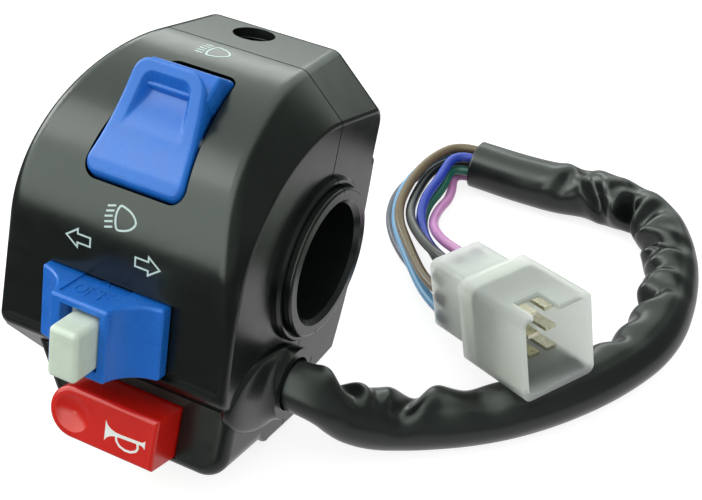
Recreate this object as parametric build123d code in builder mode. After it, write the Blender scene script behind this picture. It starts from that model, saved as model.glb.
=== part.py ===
import os
from math import cos, hypot, pi, radians, sin, tan

from build123d import *

# A handlebar switch cluster with a high and low beam rocker, a sliding turn switch with a push to
# cancel button, a horn button and a sleeved cable that ends in a nine way connector.
# Millimetres. The housing is drawn upright on the handlebar axis: X runs along the bar towards the
# collar, Y points away from the rider, Z is up. The finished pieces then lean back about X, as
# the switch stands on a table, and the cable is drawn flat on that table.

# Stance
lean = 24.5
table_height = -34.0

# Handlebar seat
bore_radius = 11.15
bore_wall = 2.2
half_width = 24.1
collar_length = 2.8
collar_radius = 14.2
collar_root_radius = 15.7
collar_root_length = 1.3
collar_mouth_chamfer = 0.9
collar_groove = 0.5
collar_round = 0.5

# Housing form
wall = 2.2
top_height = 32.8
front_reach = 30.1
rear_reach = 20.0
rear_top_rise = 1.6
rear_edge_round = 3.2
pad_top = 16.0
pad_step = 1.8
pad_round = 0.7
rear_rim_round = 1.2
keel_round = 1.5
shoulder_top = 25.6
shoulder_reach = 27.4
shoulder_width = 12.0
shoulder_spread = 20.6
shoulder_rise = 9.6
shoulder_round = 3.0
shoulder_trim = 2.3
plate_round = 0.8
plate_thickness = 1.5
seam_width = 0.3
seam_depth = 0.8
overrun = 60.0

# Recessed band across the front, which the turn switch slides on
lip_drop = 4.7
lip_depth = 1.3
band_drop = 5.3
band_height = 15.1
band_slope = 2.1
band_end_round = 2.2

# Bottom of the housing
bottom_height = 36.2
brow_reach = 26.4
brow_drop = 21.3
brow_round = 2.4
block_wall = 1.6
underside_foot = 5.5
rear_foot_reach = 5.8
rear_foot_drop = 34.7
rear_step_reach = 11.6
rear_step_drop = 24.6
rear_corner_reach = 17.8
rear_corner_drop = 22.9

# Horn block under the band
block_left = -18.6
block_taper = 9.1
block_front = 22.4
block_top_drop = 22.0
block_bottom_drop = 38.5
block_corner_round = 5.0
block_round = 2.4

# Clamp screws, which close the two halves on the bar
screw_radius = 2.45
screw_head_radius = 4.1
screw_head_height = 2.6
screw_head_recess = 9.0
screw_boss_radius = 3.7
screw_boss_length = 10.0
screw_foot_height = 10.0
screw_clearance = 0.3
screw_engagement = 8.5
upper_screw = (18.6, 18.9)
lower_screw = (-14.0, -18.9)

# Mirror thread in the rear half
mirror_radius = 4.0
mirror_depth = 14.0
mirror_boss_radius = 5.6
mirror_x = -1.3
mirror_reach = 10.2
mirror_base = 13.8

# Beam rocker, in a frame that lies on the upper front of the housing
rocker_reach = 20.05
rocker_height = 21.2
rocker_rise = 45.0
rocker_centre = 1.4
rocker_half_low = 10.3
rocker_half_high = 6.9
rocker_end = 13.2
rocker_gap = 0.4
rocker_corner_round = 2.6
pivot_depth = 1.5
rocker_low_lift = 2.2
rocker_tip = 6.3
rocker_tip_lift = 10.0
rocker_tier_lift = 4.6
rocker_tier_end = 9.2
rocker_belly = 6.0
rocker_dish = 1.2
rocker_notch = 4.4
rocker_cap_half = 7.0
rocker_crown_share = 0.6
rocker_round = 0.9
recess_start = 4.5
recess_start_lift = 4.4
recess_end = 5.0
recess_half_low = 7.2
recess_half_high = 5.0
recess_depth = 3.0
recess_round = 0.7
pin_radius = 1.25
pin_fit = 0.05
lug_width = 2.6
lug_length = 12.0
lug_depth = 11.4
board_thickness = 1.6
plunger_radius = 1.6
plunger_boss_radius = 2.9
plunger_boss_depth = 8.0
plunger_reach = 9.6
cam_gap = 0.15

# Turn switch, in a frame that lies on the band
turn_reach = 26.6
turn_drop = 12.75
turn_rise = -8.0
turn_centre = -0.75
turn_half = 12.5
turn_height = 14.3
turn_lift = 0.3
turn_edge = 2.6
turn_nose_half = 5.75
turn_nose_height = 9.3
turn_travel = 4.0
turn_pillar_radius = 2.2
turn_pillar_gap = 0.6
turn_round = 0.6
panel_half = 5.0
panel_depth = 0.3
panel_rim = 1.3
nose_left = 3.75
nose_right = 4.35
nose_up = 5.8
nose_down = 5.2
nose_floor = 1.9
stem_half_width = 3.2
stem_half_height = 3.2
slot_clearance = 0.4
carriage_half_width = 11.0
carriage_half_height = 6.2
carriage_thickness = 2.6
carriage_gap = 0.3
carriage_depth = 2.2
track_depth = 8.2
cancel_half_width = 2.9
cancel_half_height = 4.9
cancel_offset = 1.25
cancel_lift = 15.3
cancel_bottom = 4.6
cancel_round = 1.0
cancel_travel = 2.5

# Horn button, in a frame on the front of the horn block
horn_left = -8.0
horn_right = 14.2
horn_drop = 31.3
horn_half_height = 5.0
horn_lift = 7.7
horn_gap = 0.3
horn_flange = 1.0
horn_flange_thickness = 1.4
horn_travel = 3.0
horn_round = 0.8
horn_dimple_radius = 3.4
horn_dimple_depth = 0.9
horn_plate_depth = 9.4
horn_rib_low = 0.5
horn_screw_height = 2.5

# Small parts
ball_radius = 1.5
spring_wire = 0.25
board_screw_radius = 0.95
board_screw_head = 1.7
board_screw_height = 1.0
board_screw_length = 6.0
board_screw_reach = 5.0
contact_thickness = 0.5
contact_width = 2.6
contact_row = 2.0
contact_spread = 7.0
spring_pitch = 0.8
cancel_pitch = 1.9
spring_eye = 2.1
cancel_seat = -3.6
cancel_foot = 1.6
detent_boss_radius = 2.6
detent_boss_depth = 6.9
detent_seat = 3.1
detent_tip = 8.05
plunger_seat = 3.2
plunger_top = 4.6
plunger_bore = 1.05
flange_front = 2.5
horn_spring_radius = 2.6
bridge_half = 8.5
horn_dimple_share = 2.0
screw_seat = 11.0
mirror_top = 33.0

# Cable exit, on the bar's drawing
exit_reach = 5.6
exit_drop = 22.4
exit_radius = 5.2
exit_wall = 1.7
exit_length = 3.0
exit_lip = 0.3
exit_flare_shift = 5.2
exit_flare_half = 13.0
exit_flare_rise = 7.9

# Cable, on the table
sleeve_radius = 4.8
sleeve_start = 17.5
sleeve_finish = 25.5
exit_corner = 31.5
bend_share = 0.45
clip_width = 1.6
clip_thickness = 1.2
wire_radius = 1.05
wire_ring = 3.1
wire_lead = 5.0

# Connector
shroud_length = 18.9
shroud_width = 16.5
shroud_height = 17.9
shroud_depth = 15.5
shroud_wall = 1.2
shroud_round = 1.6
connector_length = 31.0
core_width = 12.6
core_height = 15.4
way_radius = 1.35
way_depth = 3.0
notch_depth = 6.0
notch_centre = 6.0
notch_width = 6.0
tab_width = 2.4
tab_thickness = 0.8
tab_length = 8.5


def face_plane(reach, height, rise):
    """A plane on the front of the housing whose normal points at the rider."""
    normal = (0, -cos(radians(rise)), sin(radians(rise)))
    return Plane(origin=(0, -reach, height), x_dir=(1, 0, 0), z_dir=normal)


def section_plane(reach, height, rise):
    """The section through such a face: its first axis climbs the face, its second leaves it."""
    climb = (0, sin(radians(rise)), cos(radians(rise)))
    return Plane(origin=(0, -reach, height), x_dir=climb, z_dir=(1, 0, 0))


def plan_plane(reach, height, rise):
    """The plan of such a face: its first axis runs along the bar, its second leaves the face."""
    down = (0, -sin(radians(rise)), -cos(radians(rise)))
    return Plane(origin=(0, -reach, height), x_dir=(1, 0, 0), z_dir=down)


def lean_back(piece, name):
    """Stands a finished piece on the table and gives it its name."""
    piece.part = piece.part.rotate(Axis.X, -lean)
    piece.part.label = name
    export_step(piece.part, f"parts/{name}.step")


os.makedirs("parts", exist_ok=True)

front_outline_shares = [
    (0.0, 1.0),
    (0.326, 0.942),
    (0.611, 0.811),
    (0.854, 0.607),
    (0.977, 0.36),
    (1.0, 0.122),
    (0.96, -0.143),
]


def side_outline(inset):
    """The housing seen along the bar, without its band and block, drawn in by the inset."""
    reach = front_reach - inset
    height = top_height - inset
    face_points = [(-reach * out, height * up) for out, up in front_outline_shares]
    top = face_points[0]
    lip = face_points[-1]
    brow = (-brow_reach + inset, -brow_drop + inset / 2)
    rear = rear_reach - inset
    rear_top = height + rear_top_rise
    rear_corner = (rear_corner_reach - inset, -rear_corner_drop + inset)
    with BuildSketch() as face:
        with BuildLine():
            Spline(
                *face_points,
                tangents=[(-rear_reach, -rear_top_rise), (brow[0] - lip[0], brow[1] - lip[1])],
            )
            Polyline(
                lip,
                brow,
                (-underside_foot, -bottom_height + inset),
                (rear_foot_reach - inset, -rear_foot_drop + inset),
                (rear_step_reach - inset, -rear_step_drop + inset),
                rear_corner,
            )
            pad_end = (rear - pad_step / 2, pad_top)
            ThreePointArc(rear_corner, (rear, 0), pad_end)
            Polyline(pad_end, (rear - pad_step, pad_top), (rear - pad_step, rear_top), top)
        make_face()
    return face.sketch


def shoulder_outline(spread, rise, inset, station):
    """The outline that the shoulders run through at one station along the bar."""
    top = shoulder_top + rise - inset
    reach = shoulder_reach + spread - inset
    with BuildSketch(Plane.YZ.offset(station)) as outline:
        with BuildLine():
            Polyline((0, top), (overrun, top), (overrun, -overrun), (-reach, -overrun), (-reach, 0))
            EllipticalCenterArc((0, 0), reach, top, start_angle=90, arc_size=90)
        make_face()
    return outline.sketch


def housing_form(inset):
    """The body of the housing between its side faces, drawn in by the inset."""
    side = half_width - inset
    inner = half_width - shoulder_width
    with BuildPart() as shoulders:
        loft(
            sections=[
                shoulder_outline(-shoulder_trim, -shoulder_trim, inset, -side),
                shoulder_outline(shoulder_spread, shoulder_rise, inset, -inner),
                shoulder_outline(shoulder_spread, shoulder_rise, inset, inner),
                shoulder_outline(0, 0, inset, side),
            ],
            ruled=True,
        )
    with BuildPart() as form:
        with BuildSketch(Plane.YZ.offset(-side)):
            add(side_outline(inset))
        extrude(amount=2 * side)
        add(shoulders.part, mode=Mode.INTERSECT)
        if inset == 0:
            inner_edge = half_width - shoulder_width
            ridges = form.edges().filter_by(
                lambda edge: inner_edge < abs(edge.center().X) < half_width
                and edge.center().Y < rear_reach - rear_edge_round
                and edge.center().Z > -lip_drop
                and edge.length > shoulder_rise
                and abs(edge.center().X) < half_width - seam_width
            )
            fillet(ridges, radius=shoulder_round)
            brow = form.edges().filter_by(Axis.X).filter_by_position(Axis.Z, -brow_drop - wall, -brow_drop + wall)
            fillet(brow.sort_by(Axis.Y)[0], radius=brow_round)
            back = form.edges().filter_by(Axis.X).filter_by_position(Axis.Z, pad_top + wall, top_height + wall)
            fillet(back.sort_by(Axis.Y)[-1], radius=rear_edge_round)
            pad = form.edges().filter_by(Axis.X).filter_by_position(Axis.Z, pad_top - wall, pad_top + wall)
            fillet(pad.sort_by(Axis.Y)[-1], radius=pad_round)
            rims = form.edges().filter_by(
                lambda edge: abs(edge.center().X) > half_width - pad_round
                and edge.center().Y > rear_reach - 2 * wall
                and abs(edge.center().Z) < rear_reach
            )
            fillet(rims, radius=rear_rim_round)
            keel = form.edges().filter_by(
                lambda edge: abs(edge.center().X) > half_width - pad_round
                and -underside_foot < edge.center().Y < rear_step_reach
                and edge.center().Z < -rear_step_drop
            )
            fillet(keel, radius=keel_round)
    return form.part


def horn_block(inset):
    """The block under the band that carries the horn button."""
    front = block_front - inset
    fall = block_bottom_drop - bottom_height
    with BuildPart() as block:
        with BuildSketch(Plane.XZ) as outline:
            with BuildLine():
                Polyline(
                    (block_left + inset, -block_top_drop),
                    (block_left + inset + block_taper, -bottom_height + inset),
                    (half_width - inset, -bottom_height + inset),
                    (half_width - inset, -block_top_drop),
                    close=True,
                )
            make_face()
            fillet(outline.vertices().group_by(Axis.Y)[0], radius=block_corner_round - inset)
        extrude(amount=hypot(front, fall), dir=(0, -front, -fall))
        if inset == 0:
            rim = block.faces().sort_by(Axis.Y)[0].edges().sort_by(Axis.Z)[:-1]
            fillet(rim, radius=block_round)
    return block.part


def cylinder_on(plane, centre, radius, near, far):
    """A round bar that stands on a plane between two distances from it."""
    with BuildPart() as bar:
        with BuildSketch(plane.offset(near)):
            with Locations(centre):
                Circle(radius)
        extrude(amount=far - near)
    return bar.part


def block_on(plane, low, high, near, far):
    """A block that stands on a plane, between two corners and two distances from it."""
    with BuildPart() as block:
        with BuildSketch(plane.offset(near)):
            with Locations(((low[0] + high[0]) / 2, (low[1] + high[1]) / 2)):
                Rectangle(high[0] - low[0], high[1] - low[1])
        extrude(amount=far - near)
    return block.part


rocker_face = face_plane(rocker_reach, rocker_height, rocker_rise)
rocker_section = section_plane(rocker_reach, rocker_height, rocker_rise)
turn_face = face_plane(turn_reach, -turn_drop, turn_rise)
turn_plan = plan_plane(turn_reach, -turn_drop, turn_rise)
horn_face = face_plane(block_front, -horn_drop, 0)
front_plane = face_plane(0, 0, 0)
side_plane = Plane.YZ

lug_left = rocker_centre - rocker_half_low - pin_fit
lug_right = rocker_centre + rocker_half_low + pin_fit
pillar_left = turn_centre - carriage_half_width - turn_travel - turn_pillar_gap
pillar_right = turn_centre + carriage_half_width + turn_travel + turn_pillar_gap
horn_rib_left = horn_left - horn_gap - horn_gap
horn_rib_right = horn_right + horn_flange + horn_gap
mirror_axis = Plane(origin=(mirror_x, mirror_reach, 0), z_dir=(0, 0, 1))


def rocker_outline(gap):
    """The tapered outline of the rocker's opening, or of the rocker when drawn in by the gap."""
    low = rocker_half_low - gap
    high = rocker_half_high - gap
    end = rocker_end - gap
    with BuildSketch() as outline:
        with BuildLine():
            Polyline(
                (rocker_centre - low, -end),
                (rocker_centre + low, -end),
                (rocker_centre + high, end),
                (rocker_centre - high, end),
                close=True,
            )
        make_face()
        fillet(outline.vertices(), radius=rocker_corner_round)
    return outline.sketch


def horn_outline(gap):
    """The horn button's outline, round at its left end, grown by the gap."""
    left = horn_left - gap
    right = horn_right + gap
    half = horn_half_height + gap
    with BuildSketch() as outline:
        with Locations((left + half, 0)):
            Circle(half)
        with Locations(((left + half + right) / 2, 0)):
            Rectangle(right - left - half, 2 * half)
    return outline.sketch


def collar():
    """The stepped collar round the bore, with a groove between its two rings."""
    with BuildPart() as rings:
        with BuildSketch(side_plane.offset(half_width - wall)):
            Circle(collar_root_radius)
        extrude(amount=collar_root_length + wall)
        chamfer(rings.edges().sort_by(Axis.X)[-1], length=collar_groove)
        with BuildSketch(side_plane.offset(half_width)):
            Circle(collar_radius + collar_groove)
        extrude(amount=collar_length, mode=Mode.SUBTRACT)
        with BuildSketch(side_plane.offset(half_width - wall)):
            Circle(collar_radius)
        extrude(amount=collar_length + wall)
        fillet(rings.edges().sort_by(Axis.X)[-1], radius=collar_round)
        with BuildSketch(side_plane.offset(half_width - wall)):
            Circle(bore_radius)
        extrude(amount=2 * collar_length + wall, mode=Mode.SUBTRACT)
        mouth = rings.edges().filter_by(GeomType.CIRCLE).group_by(Axis.X)[-1].sort_by(SortBy.RADIUS)[0]
        chamfer(mouth, length=collar_mouth_chamfer)
    return rings.part


def seam_groove():
    """The thin groove that runs round the housing where its halves meet."""
    with BuildPart() as groove:
        with BuildSketch(Plane.XZ):
            Rectangle(2 * overrun, 2 * overrun)
        extrude(amount=-seam_width)
        add(housing_form(seam_depth), mode=Mode.SUBTRACT)
        add(cylinder_on(side_plane, (0, 0), collar_radius - seam_depth, -overrun, overrun), mode=Mode.SUBTRACT)
    return groove.part


with BuildPart() as housing_body:
    add(housing_form(0))
    with BuildSketch(Plane.XZ.offset(front_reach + wall), mode=Mode.PRIVATE) as band_outline:
        with Locations(((half_width - plate_thickness - overrun) / 2, -band_drop - band_height / 2)):
            RectangleRounded(half_width - plate_thickness + overrun, band_height, band_end_round)
    with BuildSketch(side_plane.offset(-overrun), mode=Mode.PRIVATE) as band_section:
        with BuildLine():
            Polyline(
                (-front_reach - 2 * wall, -lip_drop),
                (-front_reach + 2 * lip_depth, -band_drop),
                (-front_reach + 2 * lip_depth + band_slope, -band_drop - band_height),
                (-front_reach - 2 * wall, -band_drop - band_height),
                close=True,
            )
        make_face()
    band_cut = extrude(band_section.sketch, amount=2 * overrun, mode=Mode.PRIVATE)
    band_prism = extrude(band_outline.sketch, amount=-(front_reach / 2), mode=Mode.PRIVATE)
    add(band_cut & band_prism, mode=Mode.SUBTRACT)
    add(horn_block(0))
    add(collar())
    for level, forward, length, height in (
        (half_width - exit_wall, exit_flare_shift, exit_flare_half, exit_flare_rise),
        (half_width, exit_flare_shift, exit_flare_half, exit_flare_rise),
        (half_width + exit_length / 2, exit_wall, exit_radius + 2 * exit_wall, exit_radius + exit_wall + exit_lip),
        (half_width + exit_length, 0, exit_radius + exit_wall, exit_radius + exit_wall),
    ):
        with BuildSketch(side_plane.offset(level)):
            with Locations((-exit_reach - forward, -exit_drop)):
                Ellipse(length, height)
    loft()
    with BuildSketch(side_plane.offset(-half_width - wall)):
        Circle(bore_radius)
    extrude(amount=2 * half_width + 2 * wall + collar_length, mode=Mode.SUBTRACT)

with BuildPart() as housing_cavity:
    add(housing_form(wall))
    add(horn_block(block_wall))
    with BuildSketch(side_plane.offset(-half_width)):
        Circle(bore_radius + bore_wall)
    extrude(amount=2 * half_width, mode=Mode.SUBTRACT)


def screw_foot(position, length):
    """The web that ties a clamp screw's boss to the bore wall."""
    x, z = position
    side = z / abs(z)
    low = min(side * screw_foot_height, z + side * screw_boss_radius)
    high = max(side * screw_foot_height, z + side * screw_boss_radius)
    return block_on(front_plane, (x - screw_boss_radius, low), (x + screw_boss_radius, high), 0, length)


with BuildPart() as front_housing:
    add(housing_body.part)
    with BuildPart(mode=Mode.PRIVATE) as front_hollow:
        add(housing_cavity.part)
        for place in (upper_screw, lower_screw):
            add(screw_foot(place, screw_boss_length), mode=Mode.SUBTRACT)
        for side in (lug_left - lug_width, lug_right):
            low = (side, -lug_length / 2)
            high = (side + lug_width, lug_length / 2)
            add(block_on(rocker_face, low, high, -lug_depth, lug_depth), mode=Mode.SUBTRACT)
        for side in (pillar_left - turn_pillar_radius, pillar_right + turn_pillar_radius):
            add(cylinder_on(turn_face, (side, 0), turn_pillar_radius, -track_depth, 0), mode=Mode.SUBTRACT)
        for side in (horn_rib_left - lug_width, horn_rib_right):
            low = (side, horn_rib_low)
            high = (side + lug_width, horn_half_height)
            add(block_on(horn_face, low, high, -horn_plate_depth, 0), mode=Mode.SUBTRACT)
    add(front_hollow.part, mode=Mode.SUBTRACT)
    split(bisect_by=Plane.XZ, keep=Keep.TOP)
    with BuildSketch(rocker_face.offset(-rocker_end)):
        add(rocker_outline(0))
    extrude(amount=2 * rocker_end, mode=Mode.SUBTRACT)
    with BuildSketch(rocker_section.offset(lug_left - lug_width)):
        with Locations((0, -pivot_depth)):
            Circle(pin_radius + pin_fit)
    extrude(amount=lug_right - lug_left + 2 * lug_width, mode=Mode.SUBTRACT)
    with BuildSketch(turn_face.offset(-wall - wall)):
        with Locations((turn_centre, 0)):
            Rectangle(
                2 * (stem_half_width + turn_travel + slot_clearance),
                2 * (stem_half_height + slot_clearance),
            )
    extrude(amount=2 * wall + wall, mode=Mode.SUBTRACT)
    with BuildSketch(horn_face.offset(-wall)):
        add(horn_outline(horn_gap))
    extrude(amount=2 * wall, mode=Mode.SUBTRACT)
    with BuildSketch(side_plane.offset(half_width - 2 * wall)):
        with Locations((-exit_reach, -exit_drop)):
            Circle(exit_radius)
    extrude(amount=2 * wall + 2 * exit_length, mode=Mode.SUBTRACT)
    for place in (upper_screw, lower_screw):
        add(cylinder_on(front_plane, place, screw_radius, 0, screw_engagement), mode=Mode.SUBTRACT)
    for side in (lug_left - lug_width / 2, lug_right + lug_width / 2):
        hole = cylinder_on(
            rocker_face, (side, 0), board_screw_radius + pin_fit, -lug_depth, -lug_depth + board_screw_length
        )
        add(hole, mode=Mode.SUBTRACT)
    for side in (pillar_left - turn_pillar_radius, pillar_right + turn_pillar_radius):
        hole = cylinder_on(
            turn_face, (side, 0), board_screw_radius + pin_fit, -track_depth, -track_depth + board_screw_length
        )
        add(hole, mode=Mode.SUBTRACT)
    for side in (horn_rib_left - lug_width / 2, horn_rib_right + lug_width / 2):
        hole = cylinder_on(
            horn_face,
            (side, horn_screw_height),
            board_screw_radius + pin_fit,
            -horn_plate_depth,
            -horn_plate_depth + board_screw_length,
        )
        add(hole, mode=Mode.SUBTRACT)

lean_back(front_housing, "front_housing")

with BuildPart() as rear_housing:
    add(housing_body.part)
    with BuildPart(mode=Mode.PRIVATE) as rear_hollow:
        add(housing_cavity.part)
        for place in (upper_screw, lower_screw):
            add(screw_foot(place, -rear_reach), mode=Mode.SUBTRACT)
    add(rear_hollow.part, mode=Mode.SUBTRACT)
    split(bisect_by=Plane.XZ, keep=Keep.BOTTOM)
    for place in (upper_screw, lower_screw):
        shank = cylinder_on(front_plane, place, screw_radius + screw_clearance, 0, -overrun)
        add(shank, mode=Mode.SUBTRACT)
        head = cylinder_on(front_plane, place, screw_head_radius + screw_clearance, -screw_seat, -overrun)
        add(head, mode=Mode.SUBTRACT)
    add(cylinder_on(mirror_axis, (0, 0), mirror_boss_radius, mirror_base, overrun), mode=Mode.SUBTRACT)
    with BuildSketch(side_plane.offset(half_width - 2 * wall)):
        with Locations((-exit_reach, -exit_drop)):
            Circle(exit_radius)
    extrude(amount=2 * wall + 2 * exit_length, mode=Mode.SUBTRACT)
    add(seam_groove(), mode=Mode.SUBTRACT)

lean_back(rear_housing, "rear_housing")

with BuildPart() as mirror_boss:
    add(cylinder_on(mirror_axis, (0, 0), mirror_boss_radius, mirror_base, overrun))
    add(housing_body.part, mode=Mode.INTERSECT)
    thread = cylinder_on(mirror_axis, (0, 0), mirror_radius, mirror_top - mirror_depth, overrun)
    add(thread, mode=Mode.SUBTRACT)

lean_back(mirror_boss, "mirror_boss")

with BuildPart() as housing_screws:
    for place in (upper_screw, lower_screw):
        add(cylinder_on(front_plane, place, screw_radius, -screw_seat, screw_engagement - pin_fit))
        add(cylinder_on(front_plane, place, screw_head_radius, -screw_seat, -screw_seat - screw_head_height))
        driver = cylinder_on(
            front_plane, place, screw_radius / 2, -screw_seat - screw_head_height / 2, -screw_seat - screw_head_height
        )
        add(driver, mode=Mode.SUBTRACT)

lean_back(housing_screws, "housing_screws")

pivot = (0, -pivot_depth)
sector = hypot(rocker_end - rocker_gap, rocker_low_lift / 2)


def sector_reach(height):
    """How far along the face the rocker's ends stand at a height, on an arc about the pin."""
    return (sector**2 - (height + pivot_depth) ** 2) ** (1 / 2)


def rocker_flank(side, near, far, bottom, top):
    """What lies beside the rocker's cap on one side, between two heights and two places up the face."""
    edge = rocker_half_low - rocker_gap
    with BuildPart() as flank:
        with BuildSketch(rocker_face.offset(near)):
            with BuildLine():
                Polyline(
                    (rocker_centre + side * cap_half(bottom), bottom),
                    (rocker_centre + side * cap_half(top), top),
                    (rocker_centre + side * (edge + wall), top),
                    (rocker_centre + side * (edge + wall), bottom),
                    close=True,
                )
            make_face()
        extrude(amount=far - near)
    return flank.part


def cap_half(up):
    """Half the width of the rocker's cap at a place up the face."""
    share = (up + rocker_end) / (rocker_notch + rocker_end)
    return rocker_half_low - rocker_gap + share * (rocker_cap_half - rocker_half_low + rocker_gap)


def rocker_recess():
    """The thumb recess, deepest under its upper wall, with a floor that rises to the cap's face."""
    with BuildPart() as recess:
        with BuildSketch(rocker_face.offset(-rocker_gap)):
            with BuildLine():
                Polyline(
                    (rocker_centre - recess_half_low, -recess_start),
                    (rocker_centre + recess_half_low, -recess_start),
                    (rocker_centre + recess_half_high, recess_end),
                    (rocker_centre - recess_half_high, recess_end),
                    close=True,
                )
            make_face()
        extrude(amount=rocker_end)
        with BuildSketch(rocker_section.offset(rocker_centre - rocker_half_low)):
            with BuildLine():
                Polyline(
                    (-recess_start, recess_start_lift),
                    (recess_end - recess_depth / 2, rocker_tip_lift - recess_depth - rocker_round),
                    (recess_end, rocker_tip_lift + wall),
                    (-recess_start, rocker_tip_lift + wall),
                    close=True,
                )
            make_face()
        extrude(amount=2 * rocker_half_low, mode=Mode.INTERSECT)
        fillet(recess.edges().filter_by_position(Axis((0, -rocker_reach, rocker_height), rocker_face.z_dir), 0, rocker_tip_lift - recess_depth), radius=recess_round)
    return recess.part


with BuildPart() as beam_rocker:
    with BuildSketch(rocker_section.offset(rocker_centre - rocker_half_low)):
        with BuildLine():
            low = (-sector_reach(rocker_low_lift), rocker_low_lift)
            tip = (rocker_tip, rocker_tip_lift)
            middle = ((low[0] + tip[0]) / 2 + rocker_dish / 2, (low[1] + tip[1]) / 2 - rocker_dish)
            tier = (sector_reach(rocker_tier_lift), rocker_tier_lift)
            ThreePointArc(low, middle, tip)
            Polyline(tip, (rocker_tier_end, rocker_tier_lift + rocker_dish), tier)
            ThreePointArc(tier, (sector, -pivot_depth), (sector_reach(-rocker_belly), -rocker_belly))
            Line((sector_reach(-rocker_belly), -rocker_belly), (-sector_reach(-rocker_belly), -rocker_belly))
            ThreePointArc((-sector_reach(-rocker_belly), -rocker_belly), (-sector, -pivot_depth), low)
        make_face()
    extrude(amount=2 * rocker_half_low)
    with BuildSketch(rocker_face.offset(-rocker_end)):
        add(rocker_outline(rocker_gap))
    extrude(amount=2 * rocker_end, mode=Mode.INTERSECT)
    for near, far, bottom, top in (
        (-rocker_end, rocker_end, -rocker_end, rocker_notch),
        (rocker_tier_lift, rocker_end, rocker_notch, rocker_end),
    ):
        for side in (-1, 1):
            add(rocker_flank(side, near, far, bottom, top), mode=Mode.SUBTRACT)
    crown = [face for face in beam_rocker.faces() if face.normal_at().dot(rocker_face.z_dir) > rocker_crown_share]
    fillet(sorted(crown, key=lambda face: face.area)[-1].edges(), radius=rocker_round)
    add(rocker_recess(), mode=Mode.SUBTRACT)
    add(cylinder_on(rocker_face, (rocker_centre, 0), plunger_boss_radius, -plunger_boss_depth, -rocker_belly + wall))
    bore = cylinder_on(rocker_face, (rocker_centre, 0), plunger_radius + pin_fit, -plunger_boss_depth, -plunger_seat)
    add(bore, mode=Mode.SUBTRACT)
    with BuildSketch(rocker_section.offset(lug_left)):
        with Locations(pivot):
            Circle(pin_radius + pin_fit)
    extrude(amount=lug_right - lug_left, mode=Mode.SUBTRACT)

lean_back(beam_rocker, "beam_rocker")

with BuildPart() as rocker_pin:
    with BuildSketch(rocker_section.offset(lug_left - lug_width + pin_fit)):
        with Locations(pivot):
            Circle(pin_radius)
    extrude(amount=lug_right - lug_left + 2 * lug_width - 2 * pin_fit)

lean_back(rocker_pin, "rocker_pin")

with BuildPart() as rocker_plunger:
    add(cylinder_on(rocker_face, (rocker_centre, 0), plunger_radius, -plunger_reach, -plunger_top))
    tip_edges = rocker_plunger.edges().group_by(Axis((0, 0, 0), rocker_face.z_dir))[0]
    fillet(tip_edges, radius=plunger_radius / 2)
    bore = cylinder_on(rocker_face, (rocker_centre, 0), plunger_bore, -plunger_reach + wall, -plunger_top)
    add(bore, mode=Mode.SUBTRACT)

lean_back(rocker_plunger, "rocker_plunger")


def coil(plane, centre, radius, near, far, pitch):
    """A compression spring that stands on a plane between two distances from it."""
    base = plane.offset(near + spring_wire)
    start = base.from_local_coords((centre[0], centre[1], 0))
    with BuildPart() as spring:
        with BuildLine() as path:
            Helix(pitch, far - near - 2 * spring_wire, radius - spring_wire, center=start, direction=base.z_dir)
        with BuildSketch(Plane(origin=path.line @ 0, z_dir=path.line % 0)):
            Circle(spring_wire)
        sweep()
    return spring.part


with BuildPart() as rocker_spring:
    spring_foot = -plunger_reach + wall
    add(coil(rocker_face, (rocker_centre, 0), plunger_bore - pin_fit, spring_foot, -plunger_seat, spring_pitch))

lean_back(rocker_spring, "rocker_spring")

with BuildPart() as beam_contact_board:
    low = (lug_left - lug_width, -lug_length / 2)
    high = (lug_right + lug_width, lug_length / 2)
    add(block_on(rocker_face, low, high, -lug_depth - board_thickness, -lug_depth))
    low = (rocker_centre - plunger_boss_radius, -lug_length / 2 + wall / 2)
    high = (rocker_centre + plunger_boss_radius, lug_length / 2 - wall / 2)
    add(block_on(rocker_face, low, high, -lug_depth, -plunger_boss_depth - cam_gap))
    with BuildSketch(rocker_section.offset(lug_left)):
        with Locations(pivot):
            Circle(plunger_reach - pivot_depth + cam_gap)
    extrude(amount=lug_right - lug_left, mode=Mode.SUBTRACT)
    for side in (lug_left - lug_width / 2, lug_right + lug_width / 2):
        hole = cylinder_on(
            rocker_face, (side, 0), board_screw_radius + pin_fit, -lug_depth - board_thickness, -lug_depth
        )
        add(hole, mode=Mode.SUBTRACT)

lean_back(beam_contact_board, "beam_contact_board")

with BuildPart() as beam_contacts:
    for side in (rocker_centre - contact_spread, rocker_centre + contact_spread):
        for row in (-contact_row, contact_row):
            low = (side - contact_width / 2, row - contact_width / 2)
            high = (side + contact_width / 2, row + contact_width / 2)
            add(block_on(rocker_face, low, high, -lug_depth, -lug_depth + contact_thickness))

lean_back(beam_contacts, "beam_contacts")

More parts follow.
